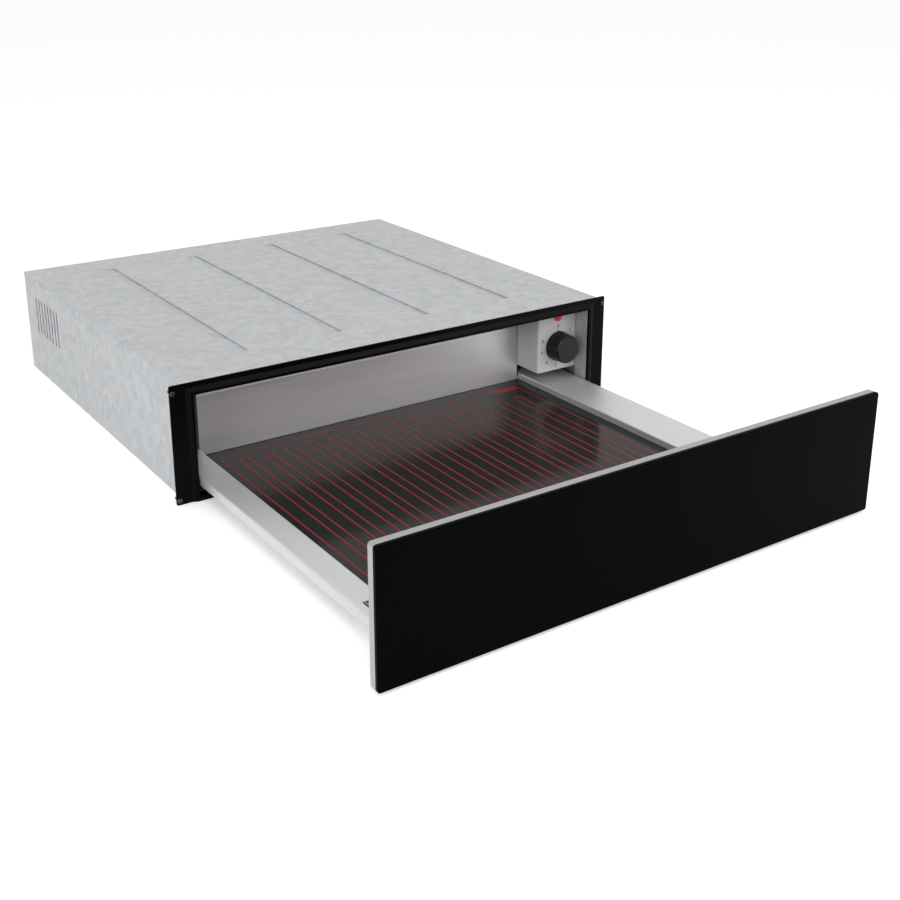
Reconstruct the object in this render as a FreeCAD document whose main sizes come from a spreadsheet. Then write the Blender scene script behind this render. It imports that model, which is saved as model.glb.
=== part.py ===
import FreeCAD, Part
import math
import os

import Sketcher

# Built-in warming drawer, 60 cm class, drawn with the drawer fully open.
# X runs to the right, Y into the niche, Z up. The origin lies in the middle of the
# housing's underside, in the plane of the front frame's flange. Everything is in mm.

SIZES = [
    ("panel_width", 594, "front glass, edge to edge"),
    ("panel_height", 131, "front glass, edge to edge"),
    ("panel_bottom", 2.6, "front glass above the housing's underside"),
    ("panel_corner", 3, "corner radius of the front"),
    ("glass_thick", 3.5, "front glass"),
    ("glass_bevel", 0.8, "ground edge of the front glass"),
    ("seal_thick", 0.5, "bead between front glass and carrier"),
    ("seal_inset", 1.2, "how far the bead lies inside the glass edge"),
    ("carrier_depth", 8.2, "folded metal carrier behind the bead"),
    ("carrier_sheet", 1.2, "sheet of the carrier"),
    ("open_reach", 417, "front glass ahead of the frame, drawer open"),
    ("travel", 401, "full extension of the drawer"),
    ("frame_width", 584, "front frame"),
    ("frame_height", 134, "front frame"),
    ("frame_sheet", 1.2, "sheet of the front frame"),
    ("frame_corner", 2, "corner radius of the front frame"),
    ("rim_rise", 2.5, "pressed rim around the opening"),
    ("rim_slope", 5, "width of the rim's slope"),
    ("rim_flat", 3, "flat of the rim beside the opening"),
    ("return_depth", 9, "returns along the opening's upper and lower edges"),
    ("wall_return", 22, "the side walls' folded front edges, seen in the opening"),
    ("opening_width", 532.5, "opening in the frame"),
    ("opening_bottom", 5, "lower edge of the opening"),
    ("opening_top", 120.3, "upper edge of the opening"),
    ("fixing_span", 577, "fixing holes, left to right"),
    ("fixing_low", 5.3, "lower fixing holes"),
    ("fixing_rise", 120, "fixing holes, bottom to top"),
    ("fixing_hole", 4.5, "diameter of the fixing holes"),
    ("housing_width", 560, "housing, fits a 560 mm niche"),
    ("housing_depth", 529, "rear face of the housing"),
    ("housing_height", 134, "housing with its cover"),
    ("sheet", 1, "sheet of the housing and the drawer"),
    ("side_flange", 14, "width of the side walls' flanges"),
    ("lip_short", 16, "base plate's front lip, shorter than the opening at each end"),
    ("vent_start", 400, "first slot of the side vents"),
    ("vent_width", 4, "slots of the vents"),
    ("vent_low", 60, "lower end of the side vents"),
    ("vent_high", 108, "upper end of the side vents"),
    ("vent_pitch", 12, "side vents"),
    ("rear_vent_left", -230, "left end of the first group of rear vents"),
    ("rear_vent_middle", -60, "left end of the second group of rear vents"),
    ("rear_vent_length", 60, "rear vents"),
    ("rear_vent_low", 88, "lowest of the rear vents"),
    ("rear_vent_pitch", 9, "rear vents"),
    ("bend", 1.5, "outer radius of the sheet bends"),
    ("bead_width", 16, "stiffening beads of the cover"),
    ("bead_depth", 2, "stiffening beads of the cover"),
    ("bead_pitch", 120, "stiffening beads of the cover"),
    ("bead_front", 60, "front end of the cover's beads"),
    ("bead_rear", 480, "rear end of the cover's beads"),
    ("drawer_half", 264.5, "half of the drawer's outer width"),
    ("inside_left", -235.5, "inner face of the left channel"),
    ("inside_right", 208.4, "inner face of the right channel"),
    ("channel_top", 27.6, "top of the side channels"),
    ("skirt_height", 10.5, "outer skirt of the side channels"),
    ("channel_rear", 80, "rear end of the side channels, drawer open"),
    ("channel_bend", 2.4, "outer radius of the channels' top edges"),
    ("ledge_width", 6, "ledge that carries the hot plate"),
    ("slot_from_back", 95, "rear edge of the adjusting slot behind the front glass"),
    ("slot_length", 30, "adjusting slot in the channel"),
    ("slot_width", 12, "adjusting slot in the channel"),
    ("slot_outer", 255.5, "outer edge of the adjusting slot"),
    ("back_wall_face", 67.4, "front face of the back wall, drawer open"),
    ("back_wall_top", 92.5, "top of the back wall"),
    ("back_wall_right", 206, "right end of the back wall"),
    ("back_wall_bend", 2.5, "rolled top edge of the back wall"),
    ("plate_top", 19.2, "top of the hot plate"),
    ("plate_thick", 4, "glass of the hot plate"),
    ("fit", 0.2, "gap round the hot plate"),
    ("base_bottom", 6.5, "underside of the drawer base"),
    ("base_side_top", 24, "upper edge of the drawer base's sides"),
    ("inner_front_depth", 7, "folded panel behind the front"),
    ("inner_front_top", 100, "upper edge of the inner front"),
    ("print_thick", 0.15, "enamel line on the hot plate"),
    ("track_width", 2, "width of the heater line"),
    ("track_pitch", 28, "from one hairpin to the next"),
    ("hairpin_width", 11.5, "between the two legs of a hairpin"),
    ("track_left", -220.3, "leftmost line of the heater"),
    ("track_back", 48.8, "rearmost line of the heater"),
    ("track_front", -380, "foremost turns of the heater"),
    ("hairpin_back", 34, "rear turns of the hairpins"),
    ("hairpin_back_short", 16, "rear turns of the last two hairpins"),
    ("track_corner", 9, "rear left corner of the heater line"),
    ("knob_x", 238.5, "axis of the knob"),
    ("knob_z", 71, "axis of the knob"),
    ("knob_radius", 19.3, "knob at its back"),
    ("knob_front_radius", 17.8, "knob at its front"),
    ("knob_edge", 1.7, "bevel round the knob's front"),
    ("knob_length", 21.5, "knob"),
    ("knob_bore", 14, "depth of the knob's bore"),
    ("knob_mark", 0.7, "mark that stands out from the knob's skirt"),
    ("knob_gap", 0.5, "knob to control box"),
    ("shaft_radius", 3, "shaft of the rotary control"),
    ("shaft_length", 38, "shaft of the rotary control"),
    ("shaft_clearance", 0.05, "shaft in its bush"),
    ("box_left", 207, "control box"),
    ("box_right", 269.7, "control box"),
    ("box_bottom", 39.1, "control box"),
    ("box_top", 131, "control box"),
    ("box_front", 24.8, "front face of the control box"),
    ("box_depth", 110, "control box"),
    ("box_edge", 3, "rounded front edges of the control box"),
    ("lamp_x", 237, "axis of the pilot lamp"),
    ("lamp_z", 109.4, "axis of the pilot lamp"),
    ("lamp_radius", 5.15, "lens of the pilot lamp"),
    ("lamp_stem", 4.3, "lens's stem in the lamp holder"),
    ("regulator_half", 20, "half width of the energy regulator"),
    ("regulator_front", 5, "length of the regulator's bush"),
    ("regulator_rear", 38, "rear face of the regulator, from the control box's front"),
    ("tab_length", 8, "connection tabs"),
    ("tab_width", 6.3, "connection tabs"),
    ("tab_thick", 0.8, "connection tabs"),
    ("tab_pitch", 7.5, "connection tabs"),
    ("runner_left", -250, "outer face of the left runner"),
    ("runner_right", 222.9, "outer face of the right runner"),
    ("runner_height", 16, "middle of the runners"),
    ("rail_sheet", 1.2, "sheet of the outer and drawer rails"),
    ("rail_length", 460, "length of each rail"),
    ("outer_rail_half", 9, "half height of the outer rail"),
    ("rail_front", 6, "front end of the outer rails"),
    ("ball_radius", 1.25, "balls of the runners"),
    ("groove_clearance", 0.03, "balls in their grooves"),
    ("outer_race", 6.8, "ball rows between outer and middle rail"),
    ("inner_race", 3.8, "ball rows between middle and drawer rail"),
    ("race_across", 6.6, "ball rows, from the outer rail's web"),
    ("cage_length", 200, "ball cages"),
    ("ball_pitch", 85, "balls in a cage"),
    ("plunger_radius", 4, "plunger of the latch"),
    ("plunger_travel", 12, "stroke of the latch"),
    ("plunger_gap", 0.5, "plunger to the closed drawer's striker"),
    ("striker_reach", 78, "rear face of the striker, drawer open"),
    ("gland_x", 242, "cable inlet"),
    ("gland_z", 72, "cable inlet"),
    ("gland_bore", 8.4, "cable inlet"),
    ("gland_hole", 8, "radius of the back panel's hole"),
    ("gland_flange", 10, "half width of the cable gland's flange"),
    ("gland_inside", 14, "cable gland inside the back panel"),
    ("terminal_left", 214, "terminal box"),
    ("terminal_right", 270, "terminal box"),
    ("terminal_low", 46, "terminal box"),
    ("terminal_high", 98, "terminal box"),
    ("terminal_depth", 46, "terminal box"),
    ("terminal_wall", 2, "wall of the terminal box"),
    ("latch_height", 15, "axis of the latch's plunger"),
    ("latch_half", 14, "half width of the latch housing"),
    ("latch_top", 24, "top of the latch housing"),
    ("latch_foot", 1.2, "foot plate of the latch housing"),
    ("limiter_radius", 8, "temperature limiter"),
    ("limiter_height", 7, "temperature limiter"),
    ("limiter_y", -150, "axis of the temperature limiter, drawer open"),
    ("foil_thick", 0.3, "heating foil under the hot plate"),
    ("foil_gap", 0.4, "parts that press against the foil, below the hot plate"),
]

BALLS_PER_ROW = 3
# height and radius of a ball's outlines, in ball radii
BALL_SECTIONS = [(-0.92, 0.38), (-0.38, 0.92), (0.38, 0.92), (0.92, 0.38)]
HAIRPINS = 14
SHORT_HAIRPINS = 2
TURN_STEPS = 5
COVER_BEADS = 4
SIDE_VENTS = 8
REAR_VENTS = 4
TABS = 4
CLAMPS = 3

doc = FreeCAD.newDocument("warming_drawer")
vector = FreeCAD.Vector


class Size:
    """A length with its value and the spreadsheet formula that gives it."""

    def __init__(self, value, formula):
        self.value = float(value)
        self.formula = formula

    def joined(self, sign, other, value):
        return Size(value, "(" + self.formula + " " + sign + " " + formula_of(other) + ")")

    def __add__(self, other):
        return self.joined("+", other, self.value + value_of(other))

    def __sub__(self, other):
        return self.joined("-", other, self.value - value_of(other))

    def __mul__(self, other):
        return self.joined("*", other, self.value * value_of(other))

    def __truediv__(self, other):
        return self.joined("/", other, self.value / value_of(other))

    def __neg__(self):
        return Size(-self.value, "(0 - " + self.formula + ")")

    def __radd__(self, other):
        return self + other

    def __rsub__(self, other):
        return -self + other

    def __rmul__(self, other):
        return self * other


def value_of(size):
    return size.value if isinstance(size, Size) else float(size)


def formula_of(size):
    return size.formula if isinstance(size, Size) else "(" + repr(float(size)) + ")"


class Dimensions:
    """The driving dimensions: one spreadsheet row and one Size each."""

    def __init__(self, rows):
        sheet = doc.addObject("Spreadsheet::Sheet", "dims")
        for number, (alias, value, note) in enumerate(rows, start=1):
            sheet.set("A%d" % number, alias)
            sheet.set("B%d" % number, str(value))
            sheet.set("C%d" % number, note)
            sheet.setAlias("B%d" % number, alias)
            setattr(self, alias, Size(value, "dims." + alias))
        doc.recompute()


def bind(thing, path, size):
    """Set a property, and tie it to the sheet when the size comes from there."""
    if isinstance(size, Size):
        thing.setExpression(path, size.formula)
    else:
        thing.setExpression(path, None)
        setattr(thing, path, size)


def rectangle(x0, x1, y0, y1):
    return [(x0, y0), (x1, y0), (x1, y1), (x0, y1)]


def octagon(x, y, radius):
    """Eight corners about (x, y), with upright and level flats."""
    eighths = [math.radians(22.5 + 45 * number) for number in range(8)]
    return [(x + radius * math.cos(angle), y + radius * math.sin(angle)) for angle in eighths]


class Piece:
    """A sub-part as a PartDesign body; its sketches lie on its own origin planes.

    A range of heights runs along the plane's third axis: Z for XY, Y for XZ, X for YZ.
    """

    def __init__(self, name):
        self.body = doc.addObject("PartDesign::Body", name)
        self.body.Label = name
        self.name = name
        self.planes = {plane.Role: plane for plane in self.body.Origin.OriginFeatures}

    def new(self, kind, name):
        return self.body.newObject(kind, self.name + "_" + name)

    def sketch(self, plane, height, outlines=(), circles=()):
        """Closed outlines, each a list of corners, and circles (x, y, radius)."""
        sketch = self.new("Sketcher::SketchObject", "sketch")
        sketch.AttachmentSupport = (self.planes[plane + "_Plane"], [""])
        sketch.MapMode = "FlatFace"
        offset = -height if plane == "XZ" else height
        if isinstance(offset, Size):
            sketch.setExpression("AttachmentOffset.Base.z", offset.formula)
        else:
            sketch.AttachmentOffset = FreeCAD.Placement(vector(0, 0, offset), FreeCAD.Rotation())
        for corners in outlines:
            first = sketch.GeometryCount
            count = len(corners)
            for number, corner in enumerate(corners):
                ends = [corner, corners[(number + 1) % count]]
                ends = [vector(value_of(x), value_of(y), 0) for x, y in ends]
                sketch.addGeometry(Part.LineSegment(*ends), False)
            for number in range(count):
                follower = first + (number + 1) % count
                sketch.addConstraint(Sketcher.Constraint("Coincident", first + number, 2, follower, 1))
            for number, corner in enumerate(corners):
                pin_point(sketch, first + number, 1, corner)
        for x, y, radius in circles:
            centre = vector(value_of(x), value_of(y), 0)
            ring = sketch.addGeometry(Part.Circle(centre, vector(0, 0, 1), value_of(radius)), False)
            pin_point(sketch, ring, 3, (x, y))
            index = sketch.addConstraint(Sketcher.Constraint("Radius", ring, value_of(radius)))
            tie(sketch, index, radius)
        return sketch

    def extrude(self, kind, plane, start, end, outlines, circles, along):
        sketch = self.sketch(plane, start, outlines, circles)
        feature = self.new("PartDesign::" + kind, kind.lower())
        feature.Profile = sketch
        feature.Reversed = along
        bind(feature, "Length", end - start)
        doc.recompute()
        return feature

    def pad(self, plane, start, end, outlines=(), circles=()):
        return self.extrude("Pad", plane, start, end, outlines, circles, plane == "XZ")

    def pocket(self, plane, start, end, outlines=(), circles=()):
        before = self.body.Shape.Volume
        feature = self.extrude("Pocket", plane, start, end, outlines, circles, plane != "XZ")
        if self.body.Shape.Volume >= before:
            raise RuntimeError(self.name + ": a pocket cuts nothing")
        return feature

    def revolve(self, corners):
        """Turn an outline of (radius, height) corners about the Y axis."""
        sketch = self.sketch("XY", 0, [corners])
        feature = self.new("PartDesign::Revolution", "revolution")
        feature.Profile = sketch
        feature.ReferenceAxis = (sketch, ["V_Axis"])
        feature.Angle = 360
        doc.recompute()
        return feature

    def loft(self, plane, sections):
        """Join outlines, given as (height, corners), by flat faces."""
        sketches = [self.sketch(plane, height, [corners]) for height, corners in sections]
        feature = self.new("PartDesign::AdditiveLoft", "loft")
        feature.Profile = sketches[0]
        feature.Sections = sketches[1:]
        feature.Ruled = True
        doc.recompute()
        return feature

    def pattern(self, features, axis, pitch, count):
        """Repeat features along an axis of the body's origin."""
        feature = self.new("PartDesign::LinearPattern", "pattern")
        feature.Originals = features
        feature.Direction = (self.planes[axis + "_Axis"], [""])
        bind(feature, "Length", pitch * (count - 1))
        feature.Occurrences = count
        self.body.Tip = feature
        doc.recompute()
        return feature

    def fillet(self, radius, wanted, kind="Fillet"):
        """Round (or bevel) the edges for which wanted(edge) is true."""
        base = self.body.Tip
        edges = [
            "Edge%d" % number
            for number, edge in enumerate(base.Shape.Edges, start=1)
            if wanted(edge)
        ]
        if not edges:
            raise RuntimeError(self.name + ": no edge to round")
        feature = self.new("PartDesign::" + kind, kind.lower())
        feature.Base = (base, edges)
        bind(feature, "Radius" if kind == "Fillet" else "Size", radius)
        doc.recompute()
        return feature

    def put(self, x=0, y=0, z=0, turn=None):
        place(self.body, x, y, z, turn)
        return self.body


def tie(sketch, index, size):
    if isinstance(size, Size):
        sketch.setExpression("Constraints[%d]" % index, size.formula)


def pin_point(sketch, geometry, point, corner):
    """Fix a point's distances from the sketch's origin."""
    for kind, size in zip(("DistanceX", "DistanceY"), corner):
        index = sketch.addConstraint(
            Sketcher.Constraint(kind, -1, 1, geometry, point, value_of(size))
        )
        tie(sketch, index, size)


def place(thing, x=0, y=0, z=0, turn=None):
    """Give an object its Placement, tied to the sheet."""
    position = vector(value_of(x), value_of(y), value_of(z))
    thing.Placement = FreeCAD.Placement(position, turn or FreeCAD.Rotation())
    for axis, size in zip("xyz", (x, y, z)):
        if isinstance(size, Size):
            thing.setExpression("Placement.Base." + axis, size.formula)


def runs_along(edge, axis):
    """True for a straight edge parallel to the axis ("x", "y" or "z")."""
    if edge.Curve.TypeId != "Part::GeomLine":
        return False
    return abs(getattr(edge.Curve.Direction, axis)) > 0.999


def lies_at(edge, **where):
    """True when every given coordinate of the edge's middle has the given value."""
    middle = edge.BoundBox.Center
    return all(abs(getattr(middle, axis) - value_of(at)) < 0.01 for axis, at in where.items())


d = Dimensions(SIZES)

# Places that several pieces share, all worked out from the sheet.
front_face = -d.open_reach
glass_back = front_face + d.glass_thick
carrier_front = glass_back + d.seal_thick
carrier_back = carrier_front + d.carrier_depth
panel_top = d.panel_bottom + d.panel_height
plate_bottom = d.plate_top - d.plate_thick
ledge_bottom = plate_bottom - d.sheet
inner_front_back = carrier_back + d.inner_front_depth
base_left = d.inside_left - d.sheet * 2
base_right = d.inside_right + d.sheet * 2
base_rear = d.back_wall_face + d.sheet * 2
base_floor = d.base_bottom + d.sheet
cover_bottom = d.housing_height - d.sheet
back_face = d.housing_depth - d.sheet
side_inner = d.housing_width / 2 - d.sheet
plunger_tip = d.striker_reach + d.travel + d.plunger_gap
half_turn = FreeCAD.Rotation(vector(0, 1, 0), 180)
sides = [("left", -1), ("right", 1)]


def make_base_plate():
    piece = Piece("base_plate")
    lip_half = d.opening_width / 2 - d.lip_short
    lip_top = d.opening_bottom - d.frame_sheet - d.fit
    piece.pad("XY", 0, d.sheet, [rectangle(-side_inner, side_inner, d.frame_sheet, back_face)])
    lip = rectangle(-lip_half, lip_half, d.frame_sheet, d.frame_sheet + d.sheet)
    piece.pad("XY", d.sheet, lip_top, [lip])
    return piece.body


def make_side_wall(side_name, side):
    """A folded C with an upper and a lower flange, its front edge folded twice."""
    piece = Piece("side_wall_" + side_name)
    web = d.housing_width / 2 * side
    skin = side_inner * side
    flange = (d.housing_width / 2 - d.side_flange) * side
    upper = cover_bottom - d.sheet
    corners = [
        (web, 0), (web, cover_bottom), (flange, cover_bottom), (flange, upper), (skin, upper),
        (skin, d.sheet * 2), (flange, d.sheet * 2), (flange, d.sheet), (skin, d.sheet), (skin, 0),
    ]
    piece.pad("XZ", d.frame_sheet, back_face, [corners])
    piece.fillet(d.bend, lambda edge: runs_along(edge, "y") and lies_at(edge, x=web, z=cover_bottom))
    near = d.opening_width / 2 * side
    far = near + d.sheet * side
    front = d.frame_sheet
    fold = d.frame_sheet + d.sheet
    rear = front + d.wall_return
    edge_fold = [(skin, front), (skin, fold), (far, fold), (far, rear), (near, rear), (near, front)]
    piece.pad("XY", d.sheet * 2, upper, [edge_fold])
    low_x = skin if side > 0 else web
    slot = rectangle(d.vent_start, d.vent_start + d.vent_width, d.vent_low, d.vent_high)
    vent = piece.pocket("YZ", low_x, low_x + d.sheet, [slot])
    piece.pattern([vent], "Y", d.vent_pitch, SIDE_VENTS)
    return piece.body


def make_back_panel():
    piece = Piece("back_panel")
    half = d.housing_width / 2
    hole = (d.gland_x, d.gland_z, d.gland_hole)
    piece.pad("XZ", back_face, d.housing_depth, [rectangle(-half, half, 0, cover_bottom)], [hole])
    low = d.rear_vent_low
    for left in (d.rear_vent_left, d.rear_vent_middle):
        slot = rectangle(left, left + d.rear_vent_length, low, low + d.vent_width)
        vent = piece.pocket("XZ", back_face, d.housing_depth, [slot])
        piece.pattern([vent], "Z", d.rear_vent_pitch, REAR_VENTS)
    return piece.body


def make_top_cover():
    """A flat sheet with troughs pressed into it, which stiffen it for the oven above."""
    piece = Piece("top_cover")
    half = d.housing_width / 2
    piece.pad("XY", cover_bottom, d.housing_height, [rectangle(-half, half, d.frame_sheet, d.housing_depth)])
    first = -d.bead_pitch * (COVER_BEADS - 1) / 2
    low = cover_bottom - d.bead_depth
    wide = rectangle(first - d.bead_width / 2, first + d.bead_width / 2, d.bead_front, d.bead_rear)
    inner_half = d.bead_width / 2 - d.sheet
    ends = (d.bead_front + d.sheet, d.bead_rear - d.sheet)
    narrow = rectangle(first - inner_half, first + inner_half, *ends)
    trough = piece.pad("XY", low, cover_bottom, [wide])
    hollow = piece.pocket("XY", low + d.sheet, d.housing_height, [narrow])
    piece.pattern([trough, hollow], "X", d.bead_pitch, COVER_BEADS)
    return piece.body


def make_front_frame():
    piece = Piece("front_frame")
    half = d.frame_width / 2
    open_half = d.opening_width / 2
    holes = [
        (d.fixing_span / 2 * side, height, d.fixing_hole / 2)
        for side in (-1, 1)
        for height in (d.fixing_low, d.fixing_low + d.fixing_rise)
    ]
    piece.pad("XZ", 0, d.frame_sheet, [rectangle(-half, half, 0, d.frame_height)], holes)
    piece.fillet(d.frame_corner, lambda edge: runs_along(edge, "y"))
    rim_half = open_half + d.rim_flat
    rim_top = d.opening_top + d.rim_flat
    foot_half = rim_half + d.rim_slope
    foot = rectangle(-foot_half, foot_half, 0, rim_top + d.rim_slope)
    crest = rectangle(-rim_half, rim_half, 0, rim_top)
    piece.loft("XZ", [(0, foot), (-d.rim_rise, crest)])
    lip = d.frame_sheet
    returns = [
        rectangle(-open_half, open_half, d.opening_top, d.opening_top + lip),
        rectangle(-open_half, open_half, d.opening_bottom - lip, d.opening_bottom),
    ]
    piece.pad("XZ", lip, lip + d.return_depth, returns)
    opening = rectangle(-open_half, open_half, d.opening_bottom, d.opening_top)
    piece.pocket("XZ", -d.rim_rise - 1, d.frame_sheet + d.return_depth + 1, [opening])
    return piece.body


def make_control_box():
    piece = Piece("control_box")
    rear = d.box_front + d.box_depth
    piece.pad("XZ", d.box_front, rear, [rectangle(d.box_left, d.box_right, d.box_bottom, d.box_top)])
    front_corner = {"x": d.box_left, "y": d.box_front}
    piece.fillet(d.box_edge, lambda edge: runs_along(edge, "z") and lies_at(edge, **front_corner))
    inside = rectangle(d.box_left + d.sheet, d.box_right - d.sheet, d.box_bottom + d.sheet, d.box_top + 1)
    inner_front = d.box_front + d.sheet
    piece.pocket("XZ", inner_front, rear + 1, [inside])
    shaft_hole = (d.knob_x, d.knob_z, d.shaft_radius + 0.6)
    lamp_hole = (d.lamp_x, d.lamp_z, d.lamp_stem + 0.1)
    holes = [shaft_hole, lamp_hole]
    piece.pocket("XZ", d.box_front - 1, inner_front + 1, (), holes)
    return piece.body


def make_energy_regulator():
    """Drawn about the knob's axis, with the control box's front at Y = 0."""
    piece = Piece("energy_regulator")
    half = d.regulator_half
    rear = d.regulator_rear
    piece.pad("XZ", d.regulator_front, rear, [rectangle(-half, half, -half, half)])
    piece.pad("XZ", d.sheet, d.regulator_front, (), [(0, 0, d.shaft_radius + 2)])
    bore_end = d.shaft_length - d.knob_bore + 2
    piece.pocket("XZ", 0, bore_end, (), [(0, 0, d.shaft_radius + d.shaft_clearance)])
    low = -d.tab_pitch * (TABS - 1) / 2
    for left in (-half + 6, half - 6 - d.tab_width):
        tab = rectangle(left, left + d.tab_width, low, low + d.tab_thick)
        blade = piece.pad("XZ", rear, rear + d.tab_length, [tab])
        piece.pattern([blade], "Z", d.tab_pitch, TABS)
    return piece.put(d.knob_x, d.box_front, d.knob_z)


def make_control_knob():
    """Turned about its own axis, front face at Y = 0."""
    piece = Piece("control_knob")
    back = d.knob_length
    bore_end = back - d.knob_bore
    piece.revolve([
        (0, 0), (d.knob_front_radius - d.knob_edge, 0), (d.knob_front_radius, d.knob_edge),
        (d.knob_radius, back), (d.shaft_radius, back), (d.shaft_radius, bore_end), (0, bore_end),
    ])
    mark = rectangle(-1, 1, d.knob_front_radius - 1, d.knob_radius + d.knob_mark)
    piece.pad("XZ", back / 2, back, [mark])
    return piece.put(d.knob_x, d.box_front - d.knob_gap - d.knob_length, d.knob_z)


def make_switch_shaft():
    piece = Piece("switch_shaft")
    piece.pad("XZ", 0, d.shaft_length, (), [(0, 0, d.shaft_radius)])
    return piece.put(d.knob_x, d.box_front - d.knob_gap - d.knob_bore, d.knob_z)


def make_pilot_lamp():
    piece = Piece("pilot_lamp")
    piece.pad("XZ", -1.9, 0, (), [(0, 0, d.lamp_radius)])
    piece.pad("XZ", 0, 9, (), [(0, 0, d.lamp_stem)])
    return piece.put(d.lamp_x, d.box_front, d.lamp_z)


def make_lamp_holder():
    piece = Piece("lamp_holder")
    half = d.lamp_radius + 1.6
    rear = 20
    piece.pad("XZ", d.sheet, rear, [rectangle(-half, half, -half, half)])
    piece.pocket("XZ", 0, 9, (), [(0, 0, d.lamp_stem)])
    inner = 3.1
    outer = inner + d.tab_thick
    tabs = [rectangle(-outer, -inner, -3, 3), rectangle(inner, outer, -3, 3)]
    piece.pad("XZ", rear, rear + d.tab_length, tabs)
    return piece.put(d.lamp_x, d.box_front, d.lamp_z)


def make_terminal_box():
    """Plastic box on the back panel, open at the rear, where the mains lead is connected."""
    piece = Piece("terminal_box")
    front = back_face - d.terminal_depth
    wall = d.terminal_wall
    outside = rectangle(d.terminal_left, d.terminal_right, d.terminal_low, d.terminal_high)
    piece.pad("XZ", front, back_face, [outside])
    piece.fillet(3, lambda edge: runs_along(edge, "x") and lies_at(edge, y=front))
    inside = rectangle(
        d.terminal_left + wall, d.terminal_right - wall, d.terminal_low + wall, d.terminal_high - wall
    )
    piece.pocket("XZ", front + wall, back_face + 1, [inside])
    return piece.body


def make_terminal_block():
    piece = Piece("terminal_block")
    front = back_face - d.terminal_depth + d.terminal_wall + 1
    left = d.terminal_left + 8
    right = d.terminal_right - 8
    low = d.terminal_low + 14
    high = d.terminal_high - 14
    piece.pad("XZ", front, front + 16, [rectangle(left, right, low, high)])
    clamp = piece.pocket("XZ", front + 6, front + 17, [rectangle(left + 4, left + 10, low + 6, low + 12)])
    piece.pattern([clamp], "X", 13, CLAMPS)
    return piece.body


def make_cable_gland():
    """Strain relief bush snapped into the back panel; Y = 0 is the panel's rear face."""
    piece = Piece("cable_gland")
    bore = (0, 0, d.gland_bore / 2)
    rim = d.gland_flange
    piece.pad("XZ", -d.gland_inside, 0, [octagon(0, 0, d.gland_hole - d.fit)], [bore])
    piece.pad("XZ", 0, 3, [rectangle(-rim, rim, -rim, rim)], [bore])
    return piece.put(d.gland_x, d.housing_depth, d.gland_z)


def make_runner_support(side_name, face, side):
    """An angle on the base plate; its web carries the outer rail."""
    piece = Piece("runner_support_" + side_name)
    back = face + d.rail_sheet * side
    toe = face + side * 12
    heel = d.sheet + d.rail_sheet
    top = d.runner_height + d.outer_rail_half - 0.5
    corners = [(toe, d.sheet), (face, d.sheet), (face, top), (back, top), (back, heel), (toe, heel)]
    piece.pad("XZ", d.rail_front + 6, rail_rear, [corners])
    return piece.body


def race_grooves(height):
    """Ball grooves, one above and one below the middle of the rail."""
    radius = d.ball_radius + d.groove_clearance
    return [(d.race_across, height * sign, radius) for sign in (-1, 1)]


def channel_outline(web, back, lip_end, outer, thick):
    """A C section open to one side: web from web to back, lips up to lip_end."""
    inner = outer - thick
    return [
        (web, -outer), (lip_end, -outer), (lip_end, -inner), (back, -inner),
        (back, inner), (lip_end, inner), (lip_end, outer), (web, outer),
    ]


def rail(name, start, end, corners, races):
    """Roll a rail profile along Y and sink the ball grooves into its lips."""
    piece = Piece(name)
    piece.pad("XZ", start, end, [corners])
    for height in races:
        piece.pocket("XZ", start - 1, end + 1, (), race_grooves(height))
    return piece


rail_rear = d.rail_front + d.rail_length
middle_half = d.outer_race - 1
drawer_lip = d.inner_race - 1
middle_front = d.rail_front - d.travel / 2
drawer_rail_front = -398
rail_depth = 12.5


def make_outer_rail(side_name, face, turn):
    corners = channel_outline(0, d.rail_sheet, 9.6, d.outer_rail_half, d.rail_sheet)
    piece = rail("outer_rail_" + side_name, d.rail_front, rail_rear, corners, [d.outer_race])
    return piece.put(face, 0, d.runner_height, turn)


def make_middle_rail(side_name, face, turn):
    corners = channel_outline(2.4, 3.4, 10.2, middle_half, 1)
    start = middle_front
    races = [d.outer_race, d.inner_race]
    piece = rail("middle_rail_" + side_name, start, start + d.rail_length, corners, races)
    return piece.put(face, 0, d.runner_height, turn)


def make_drawer_rail(side_name, face, turn):
    """Flat web against the drawer base with two lips that reach into the middle rail."""
    web = rail_depth - d.rail_sheet
    tall = 8
    inner = drawer_lip - 1
    corners = [
        (rail_depth, -tall), (rail_depth, tall), (web, tall), (web, drawer_lip),
        (4.8, drawer_lip), (4.8, inner), (web, inner), (web, -inner),
        (4.8, -inner), (4.8, -drawer_lip), (web, -drawer_lip), (web, -tall),
    ]
    start = drawer_rail_front
    piece = rail("drawer_rail_" + side_name, start, start + d.rail_length, corners, [d.inner_race])
    return piece.put(face, 0, d.runner_height, turn)


def make_ball_cage(name, start, corners, race, face, turn):
    """A folded strip with windows and two rows of balls, each ball a solid of its own."""
    piece = Piece(name)
    piece.body.AllowCompound = True
    piece.pad("XZ", start, start + d.cage_length, [corners])
    first = start + (d.cage_length - d.ball_pitch * (BALLS_PER_ROW - 1)) / 2
    half = d.ball_radius + d.groove_clearance
    x = d.race_across
    hole = rectangle(x - half, x + half, first - half, first + half)
    window = piece.pocket("XY", -d.outer_rail_half, d.outer_rail_half, [hole])
    piece.pattern([window], "Y", d.ball_pitch, BALLS_PER_ROW)
    balls = []
    for row in (-1, 1):
        sections = [
            (race * row + d.ball_radius * rise, octagon(x, first, d.ball_radius * size))
            for rise, size in BALL_SECTIONS
        ]
        balls.append(piece.loft("XY", sections))
    piece.pattern(balls, "Y", d.ball_pitch, BALLS_PER_ROW)
    return piece.put(face, 0, d.runner_height, turn)


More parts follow.
